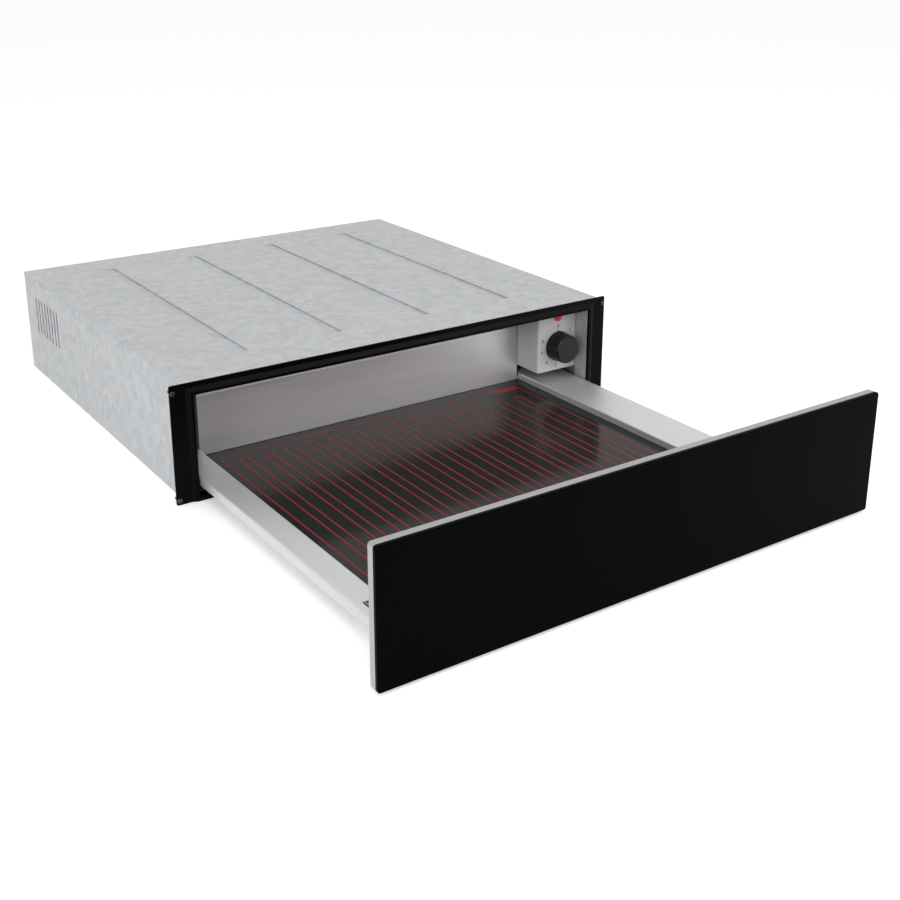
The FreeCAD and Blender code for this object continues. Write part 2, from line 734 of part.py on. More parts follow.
def make_outer_cage(side_name, face, turn):
    start = d.rail_front + (d.rail_length - d.travel / 2 - d.cage_length) / 2
    corners = channel_outline(1.5, 2.1, 8.8, d.outer_race + 0.3, 0.6)
    return make_ball_cage("outer_cage_" + side_name, start, corners, d.outer_race, face, turn)


def make_inner_cage(side_name, face, turn):
    overlap_middle = (middle_front + drawer_rail_front + d.rail_length) / 2
    start = overlap_middle - d.cage_length / 2
    corners = channel_outline(3.7, 4.3, 9.6, d.inner_race + 0.3, 0.6)
    return make_ball_cage("inner_cage_" + side_name, start, corners, d.inner_race, face, turn)


latch_front = plunger_tip + d.plunger_travel + 1
latch_floor = d.sheet + d.latch_foot


def make_latch_housing():
    """Push-to-open latch screwed to the base plate; it stays behind the drawer."""
    piece = Piece("latch_housing")
    rear = back_face - 1
    half = d.latch_half
    piece.pad("XZ", latch_front, rear, [rectangle(-half, half, latch_floor, d.latch_top)])
    piece.fillet(2, lambda edge: runs_along(edge, "y") and edge.BoundBox.ZMax > d.latch_top.value - 1)
    foot_half = half + 10
    piece.pad("XY", d.sheet, latch_floor, [rectangle(-foot_half, foot_half, latch_front, rear)])
    bore = (0, d.latch_height, d.plunger_radius + 0.05)
    piece.pocket("XZ", latch_front - 1, rear - 2, (), [bore])
    return piece.body


def make_latch_plunger():
    """Drawn about its own axis with its tip at Y = 0, so that it can slide by its stroke."""
    piece = Piece("latch_plunger")
    length = back_face - 4 - d.plunger_travel - plunger_tip
    piece.pad("XZ", 0, length, (), [(0, 0, d.plunger_radius)])
    return piece.put(0, plunger_tip, d.latch_height)


def make_latch_striker():
    piece = Piece("latch_striker")
    half = 12
    thick = 1.5
    low = d.base_bottom + thick
    face = d.striker_reach - thick
    piece.pad("XY", low, low + 15, [rectangle(-half, half, face, d.striker_reach)])
    piece.pad("XY", low, low + thick, [rectangle(-half, half, base_rear, face)])
    return piece.body


def rounded_panel(name, start, end, inset, radius):
    """A plate of the front's outline, drawn inwards by inset, from start to end in Y."""
    piece = Piece(name)
    half = d.panel_width / 2 - inset
    piece.pad("XZ", start, end, [rectangle(-half, half, d.panel_bottom + inset, panel_top - inset)])
    piece.fillet(radius, lambda edge: runs_along(edge, "y"))
    return piece


def make_front_glass():
    piece = rounded_panel("front_glass", front_face, glass_back, 0, d.panel_corner)
    front_edge = lambda edge: edge.BoundBox.YMax < value_of(front_face) + 0.01
    piece.fillet(d.glass_bevel, front_edge, "Chamfer")
    return piece.body


def make_glass_seal():
    """Dark bonding bead: a closed frame of the front's outline."""
    piece = rounded_panel("glass_seal", glass_back, carrier_front, d.seal_inset, d.panel_corner - 1)
    band = 8
    half = d.panel_width / 2 - band
    inside = rectangle(-half, half, d.panel_bottom + band, panel_top - band)
    piece.pocket("XZ", glass_back - 1, carrier_front + 1, [inside])
    return piece.body


def make_front_carrier():
    """Folded pan whose rims stand towards the glass."""
    piece = rounded_panel("front_carrier", carrier_front, carrier_back, 0, d.panel_corner)
    wall = d.carrier_sheet
    half = d.panel_width / 2 - wall
    inside = rectangle(-half, half, d.panel_bottom + wall, panel_top - wall)
    piece.pocket("XZ", carrier_front - 1, carrier_back - wall, [inside])
    rear_edge = lambda edge: edge.BoundBox.YMin > value_of(carrier_back) - 0.01
    piece.fillet(0.6, rear_edge, "Chamfer")
    return piece.body


def make_inner_front():
    """Folded cover of the front's inner side, seen from inside the drawer."""
    piece = Piece("inner_front")
    left = d.inside_left + d.fit
    right = d.inside_right - d.fit
    low = plate_bottom + 0.1
    piece.pad("XZ", carrier_back, inner_front_back, [rectangle(left, right, low, d.inner_front_top)])
    rear_edge = lambda edge: edge.BoundBox.YMin > value_of(inner_front_back) - 0.01
    piece.fillet(2, lambda edge: rear_edge(edge) and edge.BoundBox.ZMax > 50)
    inside = rectangle(left + d.sheet, right - d.sheet, low + d.sheet, d.inner_front_top - d.sheet)
    piece.pocket("XZ", carrier_back - 1, inner_front_back - d.sheet, [inside])
    return piece.body


def make_side_channel(side_name, inside, side):
    """Folded sheet: outer skirt, broad top, inner wall and the ledge under the hot plate."""
    piece = Piece("side_channel_" + side_name)
    outer = d.drawer_half * side
    skin = outer - d.sheet * side
    wall = inside + d.sheet * side
    toe = inside - d.ledge_width * side
    top = d.channel_top
    under = top - d.sheet
    skirt = top - d.skirt_height
    corners = [
        (outer, skirt), (outer, top), (inside, top), (inside, plate_bottom), (toe, plate_bottom),
        (toe, ledge_bottom), (wall, ledge_bottom), (wall, under), (skin, under), (skin, skirt),
    ]
    piece.pad("XZ", carrier_back, d.channel_rear, [corners])
    piece.fillet(d.channel_bend, lambda edge: runs_along(edge, "y") and lies_at(edge, x=outer, z=top))
    piece.fillet(d.bend, lambda edge: runs_along(edge, "y") and lies_at(edge, x=inside, z=top))
    slot_rear = front_face + d.slot_from_back
    slot_x = sorted([d.slot_outer * side, (d.slot_outer - d.slot_width) * side], key=value_of)
    slot = rectangle(slot_x[0], slot_x[1], slot_rear - d.slot_length, slot_rear)
    piece.pocket("XY", under - 1, top + 1, [slot])
    cut_x = sorted([wall + 0.01 * side, toe - 1 * side], key=value_of)
    cuts = [
        rectangle(cut_x[0], cut_x[1], carrier_back - 1, carrier_back + d.sheet + d.fit),
        rectangle(cut_x[0], cut_x[1], d.back_wall_face - d.fit, d.channel_rear + 1),
    ]
    piece.pocket("XY", ledge_bottom - 1, under, cuts)
    return piece.body


def make_front_bracket(side_name, side):
    """Steel bracket that ties the front to the channel, below the adjusting slot."""
    piece = Piece("front_bracket_" + side_name)
    near = (d.drawer_half - d.sheet - 0.7) * side
    far = near - 10.3 * side
    plate = sorted([near, far], key=value_of)
    high = d.channel_top - d.sheet - d.fit
    arm_front = carrier_back + 2
    arm_rear = carrier_back + 72
    piece.pad("XZ", carrier_back, arm_front, [rectangle(plate[0], plate[1], 8, high)])
    web = sorted([near, near - 1.5 * side], key=value_of)
    piece.pad("XZ", arm_front, arm_rear, [rectangle(web[0], web[1], 18, high)])
    shelf = sorted([near - 1.5 * side, near - 16 * side], key=value_of)
    top = rectangle(shelf[0], shelf[1], arm_front, arm_rear)
    screw = ((d.slot_outer - 4) * side, arm_rear - 14, 2.4)
    piece.pad("XY", high - d.sheet, high, [top], [screw])
    return piece.body


def make_back_wall():
    """Folded sheet with a rolled top edge and side returns that stop short of it."""
    piece = Piece("back_wall")
    left = d.inside_left + 0.5
    right = d.back_wall_right
    face = d.back_wall_face
    rear = face + d.sheet
    top = d.back_wall_top
    piece.pad("XZ", face, rear, [rectangle(left, right, base_floor + 0.1, top)])
    piece.pad("XZ", rear, rear + 11, [rectangle(left, right, top - d.sheet, top)])
    piece.fillet(d.back_wall_bend, lambda edge: runs_along(edge, "x") and lies_at(edge, y=face, z=top))
    low = d.channel_top + 1
    high = top - d.back_wall_bend - 1.5
    returns = [
        rectangle(left, left + d.sheet, low, high),
        rectangle(right - d.sheet, right, low, high),
    ]
    piece.pad("XZ", rear, rear + 9, returns)
    return piece.body


def make_drawer_base():
    """Deep drawn tray under the hot plate, with ledges at the front and the rear."""
    piece = Piece("drawer_base")
    front = carrier_back
    floor = base_floor
    piece.pad("XY", d.base_bottom, d.base_side_top, [rectangle(base_left, base_right, front, base_rear)])
    piece.fillet(d.bend, lambda edge: runs_along(edge, "z"))
    inside = rectangle(base_left + d.sheet, base_right - d.sheet, front + d.sheet, base_rear - d.sheet)
    piece.pocket("XY", floor, d.base_side_top + 1, [inside])
    front_gap = rectangle(base_left + d.sheet, base_right - d.sheet, front - 1, front + d.sheet + 0.01)
    piece.pocket("XY", plate_bottom, d.base_side_top + 1, [front_gap])
    ledge_left = d.inside_left + d.ledge_width + 0.3
    ledge_right = d.inside_right - d.ledge_width - 0.3
    rear_edge = 56
    rear_ledge = rectangle(ledge_left, ledge_right, rear_edge, d.back_wall_face - d.fit)
    front_ledge = rectangle(ledge_left, ledge_right, front + d.sheet, front + 16)
    piece.pad("XY", ledge_bottom, plate_bottom, [front_ledge])
    leg = rectangle(ledge_left, ledge_right, rear_edge, rear_edge + d.sheet)
    piece.pad("XY", floor, ledge_bottom, [leg])
    piece.pad("XY", ledge_bottom, plate_bottom, [rear_ledge])
    return piece.body


def make_hot_plate():
    piece = Piece("hot_plate")
    left = d.inside_left + d.fit
    right = d.inside_right - d.fit
    front = inner_front_back + d.fit
    rear = d.back_wall_face - d.fit * 2
    piece.pad("XY", plate_bottom, d.plate_top, [rectangle(left, right, front, rear)])
    return piece.body


def half_circle(x, y, radius, bulge):
    """Points of a half circle about (x, y), from its left end to its right end."""
    turns = [math.pi * number / TURN_STEPS for number in range(TURN_STEPS + 1)]
    return [
        vector(x - radius * math.cos(turn), y + radius * bulge * math.sin(turn), 0)
        for turn in turns
    ]


def track_side(side, half):
    """One side of the heater line: side is +1 on its left and -1 on its right.

    The line comes down at the left, turns at the front, runs up and down one hairpin
    after another, and ends at the rear right.
    """
    pin = d.hairpin_width.value
    gap = d.track_pitch.value - pin
    turn_y = d.track_front.value + gap / 2
    back_radius = pin / 2 + half * side
    front_radius = gap / 2 - half * side
    left = d.track_left.value
    points = [vector(left + half * side, d.track_back.value - d.track_corner.value, 0)]
    for number in range(HAIRPINS):
        points += half_circle(left + gap / 2, turn_y, front_radius, -1)
        short = number >= HAIRPINS - SHORT_HAIRPINS
        back = d.hairpin_back_short if short else d.hairpin_back
        points += half_circle(left + gap + pin / 2, back.value - pin / 2, back_radius, 1)
        left += gap + pin
    points += half_circle(left + gap / 2, turn_y, front_radius, -1)
    points.append(vector(left + gap - half * side, d.track_back.value, 0))
    return points


def make_heater_print():
    """The heater's line on the glass: outer line, corner, hairpins and terminal bar."""
    half = d.track_width.value / 2
    thick = d.print_thick.value
    outline = track_side(1, half) + track_side(-1, half)[::-1]
    wire = Part.makePolygon(outline + outline[:1])
    band = Part.Face(wire).extrude(vector(0, 0, thick))
    left = d.track_left.value
    back = d.track_back.value
    radius = d.track_corner.value
    centre = vector(left + radius, back - radius, 0)
    outer = radius + half
    ring = Part.makeCylinder(outer, thick, centre).cut(Part.makeCylinder(radius - half, thick, centre))
    quarter = ring.common(Part.makeBox(outer, outer, thick, vector(left - half, back - radius, 0)))
    bar_left = 143
    pad_left = bar_left + 12
    bar_length = pad_left - left - radius - 10
    bar = Part.makeBox(bar_length, half * 2, thick, vector(left + radius, back - half, 0))
    last_line = left + d.track_pitch.value * (HAIRPINS + 1) - d.hairpin_width.value
    step = Part.makeBox(14, 6, thick, vector(bar_left, back - 6.3, 0))
    pad = Part.makeBox(last_line + half - pad_left, 11.5, thick, vector(pad_left, back - 11.8, 0))
    feature = doc.addObject("Part::Feature", "heater_print")
    feature.Label = feature.Name
    feature.Shape = band.multiFuse([quarter, bar, step, pad]).removeSplitter()
    place(feature, z=d.plate_top)
    return feature


def make_heating_element():
    """Flat heating foil on the underside of the hot plate."""
    piece = Piece("heating_element")
    margin = 4
    right = d.track_left + d.track_pitch * (HAIRPINS + 1) - d.hairpin_width + margin
    outline = rectangle(d.track_left - margin, right, d.track_front - margin, d.track_back + margin)
    piece.pad("XY", plate_bottom - d.foil_thick, plate_bottom, [outline])
    piece.fillet(8, lambda edge: runs_along(edge, "z"))
    return piece.body


def make_insulation_mat():
    piece = Piece("insulation_mat")
    left = d.inside_left + d.ledge_width + 2
    right = d.inside_right - d.ledge_width - 2
    window = (0, d.limiter_y, d.limiter_radius + 5)
    outline = rectangle(left, right, carrier_back + 18, 55)
    socket = rectangle(154, 188, 30, 48)
    piece.pad("XY", base_floor, plate_bottom - d.foil_gap, [outline, socket], [window])
    return piece.body


def make_temperature_limiter():
    """Round bimetal limiter pressed against the underside of the heating element."""
    piece = Piece("temperature_limiter")
    radius = d.limiter_radius
    high = d.limiter_height
    piece.revolve([(0, 0), (radius, 0), (radius, high), (0, high)])
    upright = FreeCAD.Rotation(vector(1, 0, 0), 90)
    return piece.put(0, d.limiter_y, plate_bottom - d.foil_gap - high, upright)


def make_heater_connector():
    piece = Piece("heater_connector")
    piece.pad("XY", base_floor, plate_bottom - d.foil_gap, [rectangle(156, 186, 32, 46)])
    blade = piece.pocket("XY", base_floor + 2, plate_bottom, [rectangle(159, 165, 38, 40)])
    piece.pattern([blade], "X", 9, CLAMPS)
    return piece.body


def build():
    pieces = [make_base_plate(), make_back_panel(), make_top_cover(), make_front_frame()]
    for side_name, side in sides:
        pieces.append(make_side_wall(side_name, side))
    pieces += [
        make_control_box(), make_energy_regulator(), make_control_knob(), make_switch_shaft(),
        make_pilot_lamp(), make_lamp_holder(), make_terminal_box(), make_terminal_block(),
        make_cable_gland(), make_latch_housing(), make_latch_plunger(), make_latch_striker(),
    ]
    runners = [("left", -1, d.runner_left, None), ("right", 1, d.runner_right, half_turn)]
    for side_name, side, face, turn in runners:
        pieces.append(make_runner_support(side_name, face, side))
        for make in (make_outer_rail, make_outer_cage, make_middle_rail, make_inner_cage, make_drawer_rail):
            pieces.append(make(side_name, face, turn))
    pieces += [make_front_glass(), make_glass_seal(), make_front_carrier(), make_inner_front()]
    for side_name, side, inside in [("left", -1, d.inside_left), ("right", 1, d.inside_right)]:
        pieces.append(make_side_channel(side_name, inside, side))
        pieces.append(make_front_bracket(side_name, side))
    pieces += [make_back_wall(), make_drawer_base(), make_hot_plate(), make_insulation_mat()]
    pieces += [make_heater_print(), make_heating_element()]
    pieces += [make_temperature_limiter(), make_heater_connector()]
    return pieces


def check(pieces):
    """Stop on anything that failed to compute, before a file is written."""
    doc.recompute()
    for thing in doc.Objects:
        if "Invalid" in thing.State or "Error" in thing.State:
            raise RuntimeError("failed: " + thing.Name + " " + str(thing.State))
    for piece in pieces:
        shape = piece.Shape
        if shape.isNull() or not shape.isValid() or not shape.Solids:
            raise RuntimeError("bad shape: " + piece.Label)


def write(pieces):
    os.makedirs("parts", exist_ok=True)
    for piece in pieces:
        piece.Shape.exportStep("parts/" + piece.Label + ".step")
    print(len(pieces), "pieces")


pieces = build()
check(pieces)
write(pieces)
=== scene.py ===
import math

import bmesh
import bpy
from mathutils import Matrix, Vector


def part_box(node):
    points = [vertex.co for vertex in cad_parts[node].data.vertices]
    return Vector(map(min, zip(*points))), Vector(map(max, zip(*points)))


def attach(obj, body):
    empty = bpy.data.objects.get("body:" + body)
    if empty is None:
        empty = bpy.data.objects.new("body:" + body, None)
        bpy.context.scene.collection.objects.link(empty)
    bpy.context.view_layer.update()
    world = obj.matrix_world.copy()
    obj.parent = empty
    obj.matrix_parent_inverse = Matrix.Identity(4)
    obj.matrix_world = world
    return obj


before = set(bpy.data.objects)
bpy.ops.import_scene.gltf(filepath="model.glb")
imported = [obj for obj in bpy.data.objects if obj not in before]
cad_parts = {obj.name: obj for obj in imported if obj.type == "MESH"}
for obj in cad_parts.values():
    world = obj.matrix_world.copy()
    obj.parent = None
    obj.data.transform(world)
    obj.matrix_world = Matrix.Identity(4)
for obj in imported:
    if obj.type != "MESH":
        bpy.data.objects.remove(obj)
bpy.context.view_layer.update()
bpy.ops.object.select_all(action="DESELECT")

MM = 0.001
MERGE_DISTANCE = 0.002  # millimetres
SMOOTH_ANGLE = 35  # degrees
FACES_ALONG = 0.9  # the least share of its normal along an axis, for a face that looks along it

# Places on the part, in millimetres, as in its drawing.
FRAME_FACE = 0.0
FIXING_X = (-288.5, 288.5)
FIXING_Z = (5.3, 125.3)
HOUSING_REAR = 529.0
HOUSING_SIDE = 280.0
BRACKET_SCREW_X = (-251.5, 251.5)
BRACKET_SCREW_Y = -346.8
BRACKET_TOP = 26.4
LATCH_SCREW_X = (-19, 19)
LATCH_SCREW_Y = 510.0
LATCH_FOOT_TOP = 2.2
REAR_EDGE_X = (-272, 272)
REAR_EDGE_Z = (14, 67, 120)
REAR_FOOT_X = (-140, 0, 140)
REAR_FOOT_Z = 6
RIVET_Y = (22, 180, 340, 500)
RIVET_Z = (9, 124)

# Pan heads: the rounding as a share of the radius, the recess's arms as shares of its depth.
HEAD_ROUNDING = 0.3
RECESS_LENGTH = 2
RECESS_WIDTH = 0.42

# Blind rivets, in millimetres.
RIVET_RADIUS = 3.1
RIVET_HEIGHT = 0.9
RIVET_ROUNDING = 0.6
MANDREL_RADIUS = 0.9
MANDREL_LENGTH = 3.2

# The dial round the knob, in millimetres and degrees clockwise from the top.
KNOB_X = 238.5
KNOB_Z = 71.0
BOX_FRONT = 24.8
DIAL_ANGLES = [0] + [46 + 35 * step for step in range(8)]
NUMBER_RADIUS = 26.0
NUMBER_SIZE = 6.2
NUMBER_WEIGHT = 0.1
NUMBER_DEPTH = 0.02
NUMBER_STEPS = 6
NUMBER_SINK = 0.01
TICK_RADIUS = 20.9
TICK_HALF_WIDTH = 0.28
TICK_LENGTH = 1.3
TICK_DEPTH = 0.04
TICK_SINK = 0.015
TICK_MIDDLE = 0.01

# The bead round the hot plate, in millimetres; its black also paints the shade in the gap at the
# plate's edges.
BEAD_WIDTH = 1.1
BEAD_RISE = 0.4
BEAD_ROUNDING = 0.25
WINDOW_DEPTH = 4

# The studio, in metres.
FLOOR_SIZE = 30
FLOOR_DROP = 0.0005
FLOOR_GLOW = 0.28
WHITE = (1, 1, 1, 1)
BACKDROP_LIGHT = 0.75
BACKDROP_SEEN = 1.0


def colour(hex_code):
    """sRGB hex to the linear colour that a shader socket takes."""
    channels = [int(hex_code[start:start + 2], 16) / 255 for start in (1, 3, 5)]
    linear = [c / 12.92 if c <= 0.04045 else ((c + 0.055) / 1.055) ** 2.4 for c in channels]
    return (*linear, 1.0)


def node(tree, kind, inputs=None, **settings):
    """Add a shader node, set its properties, and set or link its inputs."""
    made = tree.nodes.new(kind)
    for name, value in settings.items():
        setattr(made, name, value)
    for name, value in (inputs or {}).items():
        if isinstance(value, bpy.types.NodeSocket):
            tree.links.new(value, made.inputs[name])
        else:
            made.inputs[name].default_value = value
    return made


def new_material(name, **sockets):
    """A material with one Principled shader, its constants set on the sockets."""
    material = bpy.data.materials.new(name)
    material.use_nodes = True
    shader = material.node_tree.nodes["Principled BSDF"]
    for socket, value in sockets.items():
        shader.inputs[socket.replace("_", " ")].default_value = value
    return material, shader


def link_shader(tree, shader, tint, spread, height):
    """Link the colour, the roughness and the bump to the shader."""
    tree.links.new(tint.outputs["Result"], shader.inputs["Base Color"])
    tree.links.new(spread.outputs["Result"], shader.inputs["Roughness"])
    tree.links.new(height.outputs["Normal"], shader.inputs["Normal"])


def surface(name, light, dark, rough, scale, bump=0.05, depth=0.00005, stretch=(1, 1, 1),
            detail=3.0, **sockets):
    """Two close colours and two roughnesses mixed by one noise, which is also the bump."""
    material, shader = new_material(name, **sockets)
    tree = material.node_tree
    place = node(tree, "ShaderNodeTexCoord")
    mapping = node(tree, "ShaderNodeMapping",
                   {"Vector": place.outputs["Object"], "Scale": stretch})
    noise = node(tree, "ShaderNodeTexNoise",
                 {"Vector": mapping.outputs["Vector"], "Scale": scale, "Detail": detail,
                  "Roughness": 0.6})
    tint = node(tree, "ShaderNodeMix",
                {"Factor": noise.outputs["Fac"], "A": colour(dark), "B": colour(light)},
                data_type="RGBA")
    spread = node(tree, "ShaderNodeMapRange",
                  {"Value": noise.outputs["Fac"], "From Min": 0.25, "From Max": 0.75,
                   "To Min": rough[0], "To Max": rough[1]})
    height = node(tree, "ShaderNodeBump",
                  {"Height": noise.outputs["Fac"], "Strength": bump, "Distance": depth})
    link_shader(tree, shader, tint, spread, height)
    return material


def galvanised_material():
    """Hot-dip galvanised sheet: zinc crystals of about 9 mm, each of its own grey."""
    material, shader = new_material("galvanised_sheet", Metallic=0.85)
    tree = material.node_tree
    place = node(tree, "ShaderNodeTexCoord")
    crystals = node(tree, "ShaderNodeTexVoronoi",
                    {"Vector": place.outputs["Object"], "Scale": 110.0, "Randomness": 1.0})
    fine = node(tree, "ShaderNodeTexNoise",
                {"Vector": place.outputs["Object"], "Scale": 700.0, "Detail": 3.0})
    shade = node(tree, "ShaderNodeSeparateColor", {"Color": crystals.outputs["Color"]})
    tint = node(tree, "ShaderNodeMix",
                {"Factor": shade.outputs["Red"], "A": colour("#b4b6b8"), "B": colour("#bfc1c3")},
                data_type="RGBA")
    spread = node(tree, "ShaderNodeMapRange",
                  {"Value": shade.outputs["Green"], "To Min": 0.54, "To Max": 0.68})
    height = node(tree, "ShaderNodeBump",
                  {"Height": fine.outputs["Fac"], "Strength": 0.08, "Distance": 0.00005})
    link_shader(tree, shader, tint, spread, height)
    return material


# Float glass lacquered black on its back: deep black, with a clean gloss and faint waves.
black_glass = surface("lacquered_float_glass", "#030304", "#020202", rough=(0.03, 0.05),
                      scale=6, bump=0.04, depth=0.0004, IOR=1.08)
# Glass-ceramic: charcoal, glossy, with a very fine speckle of the crystal phase.
plate_glass = surface("glass_ceramic", "#2a2c2c", "#222424", rough=(0.1, 0.16),
                      scale=900, bump=0.03, depth=0.00002, detail=2.0, IOR=1.16)
# Ceramic colour fired on the glass: a slightly raised matt red line with a granular edge.
red_print = surface("fired_red_enamel", "#86242c", "#6c1a22", rough=(0.35, 0.5),
                    scale=1500, bump=0.1, IOR=1.25)
# Stainless sheet, ground along the channels, with a grain coarse enough to show.
ground_lengthways = surface("stainless_ground_lengthways", "#dadada", "#c4c4c4",
                            rough=(0.42, 0.56), scale=900, bump=0.16, depth=0.00003,
                            stretch=(1, 0.008, 1), Metallic=0.8)
# The same sheet ground across, on the back wall and the inner front.
ground_crossways = surface("stainless_ground_crossways", "#dcdbda", "#bebcbb",
                           rough=(0.4, 0.56), scale=900, bump=0.2, depth=0.00004,
                           stretch=(0.008, 1, 1), Metallic=0.8)
# Aluminium, blasted and clear anodised: soft, even grey with a fine sparkle.
anodised = surface("anodised_aluminium", "#b0b0b1", "#a2a2a4", rough=(0.36, 0.44),
                   scale=2500, bump=0.06, depth=0.00002, Metallic=1.0)
# Sheet steel with black powder coat: low gloss with orange peel of about 2 mm.
black_coat = surface("black_powder_coat", "#050506", "#030303", rough=(0.3, 0.4),
                     scale=500, bump=0.12, IOR=1.13)
# Sheet steel with light grey powder coat, on the control box.
grey_coat = surface("grey_powder_coat", "#b9b9b8", "#b0b0af", rough=(0.42, 0.52),
                    scale=700, bump=0.1, depth=0.00004)
# Moulded ABS with a spark-eroded grain of about 0.5 mm.
black_abs = surface("grained_black_abs", "#101011", "#0a0a0b", rough=(0.34, 0.46),
                    scale=2000, bump=0.2, depth=0.00004, IOR=1.33)
# Natural polyamide: off-white, waxy.
white_polyamide = surface("natural_polyamide", "#dcd9cf", "#d0ccc0", rough=(0.42, 0.5),
                          scale=400)
# Bright zinc plate on the runners, with the drawing marks along them.
zinc_plate = surface("zinc_plated_steel", "#c2c4c8", "#a5a8ae", rough=(0.25, 0.4),
                     scale=900, bump=0.08, depth=0.00003, stretch=(1, 0.02, 1), Metallic=1.0)
# Tinted polycarbonate of the pilot lamp's lens, with a faint painted red glow of its own.
red_lens = surface("red_polycarbonate_painted_glow", "#b80516", "#a20412", rough=(0.2, 0.3),
                   scale=300, bump=0.02, IOR=1.35,
                   Emission_Color=colour("#c80014"), Emission_Strength=0.15)
# Nitrile rubber seal behind the front glass.
rubber = surface("black_nitrile", "#101010", "#0a0a0a", rough=(0.7, 0.85),
                 scale=1200, bump=0.2)
# Aluminium foil over the heater, a little crumpled.
foil = surface("aluminium_foil", "#d2d3d4", "#babbbc", rough=(0.2, 0.35),
               scale=60, bump=0.3, depth=0.0004, Metallic=1.0)
# Pressed mineral wool: pale fibres.
wool = surface("mineral_wool", "#c8c1ad", "#aaa28d", rough=(0.9, 0.97),
               scale=500, bump=0.6, depth=0.0004, stretch=(1, 0.3, 1), detail=6.0)
# Steatite: dense white-cream technical ceramic.
steatite = surface("steatite", "#e4dfd2", "#d8d2c3", rough=(0.45, 0.55), scale=500)
# Galvanised sheet of the housing and of the drawer's hidden pieces.
galvanised = galvanised_material()
# Black chromated zinc on the frame's screws.
black_zinc = surface("black_chromated_zinc", "#58585a", "#3c3c3f", rough=(0.3, 0.45),
                     scale=900, bump=0.08, Metallic=1.0)
# Two-part screen ink on the powder coat.
dial_ink = surface("screen_ink", "#3a3a3b", "#303031", rough=(0.5, 0.6), scale=2500)
# Black silicone: matt and slightly soft in its highlights; on the plate's edges its black also
# paints the shade of the gap there.
bead_shade_silicone = surface("black_silicone_painted_shade", "#1b1b1c", "#141414", rough=(0.5, 0.62),
                   scale=900, bump=0.06)

FINISHES = {
    black_glass: ["front_glass"],
    plate_glass: ["hot_plate"],
    red_print: ["heater_print"],
    ground_lengthways: ["side_channel_left", "side_channel_right"],
    ground_crossways: ["back_wall", "inner_front"],
    anodised: ["front_carrier"],
    black_coat: ["front_frame"],
    grey_coat: ["control_box"],
    black_abs: ["control_knob", "terminal_box", "cable_gland", "latch_housing", "lamp_holder"],
    white_polyamide: ["energy_regulator", "terminal_block", "latch_plunger"],
    zinc_plate: [
        "outer_rail_left", "outer_rail_right", "middle_rail_left", "middle_rail_right",
        "drawer_rail_left", "drawer_rail_right", "outer_cage_left", "outer_cage_right",
        "inner_cage_left", "inner_cage_right", "switch_shaft",
    ],
    red_lens: ["pilot_lamp"],
    rubber: ["glass_seal"],
    foil: ["heating_element"],
    wool: ["insulation_mat"],
    steatite: ["heater_connector", "temperature_limiter"],
    galvanised: [
        "base_plate", "back_panel", "top_cover", "side_wall_left", "side_wall_right",
        "runner_support_left", "runner_support_right", "drawer_base", "latch_striker",
        "front_bracket_left", "front_bracket_right",
    ],
}
for material, names in FINISHES.items():
    for name in names:
        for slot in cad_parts[name].material_slots:
            slot.material = material


def settle(piece, name, material, body):
    """Name a finished piece, put its place into its mesh and let it ride on its body."""
    bpy.ops.object.select_all(action="DESELECT")
    piece.select_set(True)
    bpy.context.view_layer.objects.active = piece
    bpy.ops.object.transform_apply(location=True, rotation=True, scale=True)
    bpy.ops.object.mode_set(mode="EDIT")
    bpy.ops.mesh.select_all(action="SELECT")
    bpy.ops.mesh.remove_doubles(threshold=MERGE_DISTANCE * MM)
    bpy.ops.mesh.normals_make_consistent(inside=False)
    bpy.ops.object.mode_set(mode="OBJECT")
    piece.name = name
    piece.data.name = name
    piece.data.materials.clear()
    piece.data.materials.append(material)
    bpy.ops.object.shade_smooth_by_angle(angle=math.radians(SMOOTH_ANGLE))
    piece.select_set(False)
    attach(piece, body)


def join(pieces):
    """Join pieces into the first one."""
    bpy.ops.object.select_all(action="DESELECT")
    for piece in pieces:
        piece.select_set(True)
    bpy.context.view_layer.objects.active = pieces[0]
    bpy.ops.object.join()
    return pieces[0]


def select_faces(piece, wanted):
    """Go into edit mode with the faces selected for whose normal wanted is true."""
    bpy.context.view_layer.objects.active = piece
    bpy.ops.object.mode_set(mode="EDIT")
    mesh = bmesh.from_edit_mesh(piece.data)
    for face in mesh.faces:
        face.select_set(wanted(face.normal))
    bmesh.update_edit_mesh(piece.data)


def bevel_faces(piece, wanted, offset, segments):
    """Bevel the edges of the faces for whose normal wanted is true."""
    select_faces(piece, wanted)
    bpy.ops.mesh.bevel(offset=offset * MM, segments=segments, affect="EDGES")
    bpy.ops.object.mode_set(mode="OBJECT")


def cut(piece, cutter):
    """Boolean difference, applied; the cutter goes."""
    modifier = piece.modifiers.new("cut", "BOOLEAN")
    modifier.object = cutter
    modifier.operation = "DIFFERENCE"
    modifier.solver = "EXACT"
    bpy.context.view_layer.objects.active = piece
    bpy.ops.object.modifier_apply(modifier=modifier.name)
    bpy.data.objects.remove(cutter)


def box_piece(centre, size):
    """A box with its place and size in its mesh, in millimetres."""
    bpy.ops.mesh.primitive_cube_add(size=1, location=[c * MM for c in centre])
    piece = bpy.context.object
    piece.scale = [s * MM for s in size]
    bpy.ops.object.transform_apply(location=True, rotation=True, scale=True)
    return piece


def rod(y, radius, depth, vertices=32):
    """A round bar along Y round the middle y, in millimetres."""
    bpy.ops.mesh.primitive_cylinder_add(
        vertices=vertices, radius=radius * MM, depth=depth * MM,
        location=(0, y * MM, 0), rotation=(math.pi / 2, 0, 0))
    piece = bpy.context.object
    bpy.ops.object.transform_apply(location=True, rotation=True, scale=True)
    return piece


def looks_outwards(normal):
    """True for the face of a head that looks along -Y."""
    return normal.y < -FACES_ALONG


